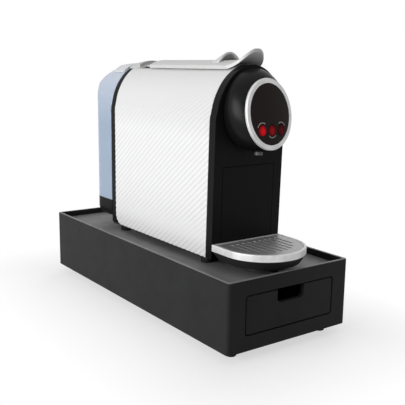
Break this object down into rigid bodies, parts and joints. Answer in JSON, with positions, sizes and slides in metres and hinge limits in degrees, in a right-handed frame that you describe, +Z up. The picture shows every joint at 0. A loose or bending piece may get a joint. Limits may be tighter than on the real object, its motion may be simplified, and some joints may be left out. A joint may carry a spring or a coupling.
{
  "type": "pod coffee machine",
  "caption": "Compact pod coffee machine with a top lever, round control panel, rear water tank and pull-out drip tray, standing on a long base with a storage drawer.",
  "frame": {"origin": "on the ground under the middle of the base", "axes": "+Z up, -Y towards the front with the drawer and control panel, +X to the right seen from the front"},
  "size_m": [0.17, 0.404, 0.3172],
  "materials": {
    "base_black": "fine satin black",
    "foot_rubber": "matte",
    "screw_steel": "plain",
    "pin_steel": "ground",
    "chassis_steel": "matte black",
    "panel_white": "white with fine slanting lines",
    "body_black": "satin",
    "head_black": "soft gloss",
    "top_grey": "satin grey",
    "ring_silver": "satin silver",
    "panel_dark": "glossy dark brown",
    "button_red": "bright red",
    "button_dark_red": "dark red",
    "button_maroon": "maroon",
    "circuit_green": "circuit board",
    "switch_black": "plain",
    "lever_silver": "satin silver",
    "brew_plastic": "plain",
    "hose_grey": "silicone",
    "grille_grey": "dark brushed",
    "tank_clear": "pale blue, see-through",
    "lid_clear": "pale cream",
    "pump_steel": "plain",
    "heater_aluminium": "cast"
  },
  "bodies": {
    "machine": {"base_cabinet": "base_black", "base_bottom": "base_black", "base_feet": "foot_rubber", "base_screws": "screw_steel", "drawer_runners": "base_black", "chassis": "chassis_steel", "machine_feet": "foot_rubber", "chassis_screws": "screw_steel", "side_panel_left": "panel_white", "side_panel_right": "panel_white", "top_cover": "top_grey", "front_cover": "body_black", "head_shell": "head_black", "rear_frame": "body_black", "tank_cradle": "body_black", "power_gland": "body_black", "valve_seal": "foot_rubber", "ring_bezel": "ring_silver", "control_disc": "panel_dark", "button_board": "circuit_green", "button_switches": "switch_black", "brew_housing": "brew_plastic", "extraction_plate": "brew_plastic", "pod_chute": "brew_plastic", "outlet_pipe": "hose_grey", "spout": "ring_silver", "frame_cheek_left": "chassis_steel", "frame_cheek_right": "chassis_steel", "pump": "pump_steel", "pump_mounts": "switch_black", "flow_meter": "switch_black", "inlet_hose": "hose_grey", "pressure_hose": "hose_grey", "brew_hose": "hose_grey", "thermoblock": "heater_aluminium", "control_board": "circuit_green", "board_posts": "switch_black"},
    "drawer": {"drawer_front": "base_black", "drawer_box": "base_black", "drawer_screws": "screw_steel"},
    "lever_arm": {"lever": "lever_silver", "lever_hood": "lever_silver", "lever_pin": "pin_steel", "link_pins": "pin_steel"},
    "links": {"toggle_links": "pin_steel"},
    "cage": {"brew_cage": "brew_plastic", "cage_pin": "pin_steel"},
    "tray": {"drip_tray": "body_black", "tray_rim": "ring_silver", "pod_bin": "body_black"},
    "grille": {"drip_grille": "grille_grey"},
    "tank": {"water_tank": "tank_clear", "tank_valve": "switch_black", "lid_pin": "pin_steel"},
    "lid": {"tank_lid": "lid_clear"},
    "left_button": {"button_left": "button_red"},
    "middle_button": {"button_middle": "button_dark_red"},
    "right_button": {"button_right": "button_maroon"}
  },
  "joints": [
    {"name": "drawer_slide", "type": "slide", "parent": "machine", "child": "drawer", "axis": [0, -1, 0], "range_m": [0, 0.25]},
    {"name": "lever_hinge", "type": "hinge", "parent": "machine", "child": "lever_arm", "pos_m": [0, 0.0615, 0.288], "axis": [-1, 0, 0], "range_deg": [0, 75]},
    {"name": "link_pivot", "type": "hinge", "parent": "lever_arm", "child": "links", "pos_m": [0, 0.0395, 0.278], "axis": [1, 0, 0], "range_deg": [0, 116.65]},
    {"name": "cage_slide", "type": "slide", "parent": "machine", "child": "cage", "axis": [0, 1, 0], "range_m": [0, 0.032]},
    {"name": "tray_slide", "type": "slide", "parent": "machine", "child": "tray", "axis": [0, -1, 0], "range_m": [0, 0.11]},
    {"name": "grille_lift", "type": "slide", "parent": "tray", "child": "grille", "axis": [0, 0, 1], "range_m": [0, 0.04]},
    {"name": "tank_lift", "type": "slide", "parent": "machine", "child": "tank", "axis": [0, 0, 1], "range_m": [0, 0.05]},
    {"name": "lid_hinge", "type": "hinge", "parent": "tank", "child": "lid", "pos_m": [0, 0.1415, 0.29522], "axis": [-1, 0, 0], "range_deg": [0, 100]},
    {"name": "left_button_press", "type": "slide", "parent": "machine", "child": "left_button", "axis": [0, 0.9877, -0.1564], "range_m": [0, 0.001], "stiffness_N_per_m": 900},
    {"name": "middle_button_press", "type": "slide", "parent": "machine", "child": "middle_button", "axis": [0, 0.9877, -0.1564], "range_m": [0, 0.001], "stiffness_N_per_m": 900},
    {"name": "right_button_press", "type": "slide", "parent": "machine", "child": "right_button", "axis": [0, 0.9877, -0.1564], "range_m": [0, 0.001], "stiffness_N_per_m": 900}
  ],
  "couplings": [
    {"joint": "link_pivot", "follows": "lever_hinge", "ratio": 1.5553},
    {"joint": "cage_slide", "follows": "lever_hinge", "m_per_rad": 0.024446}
  ]
}
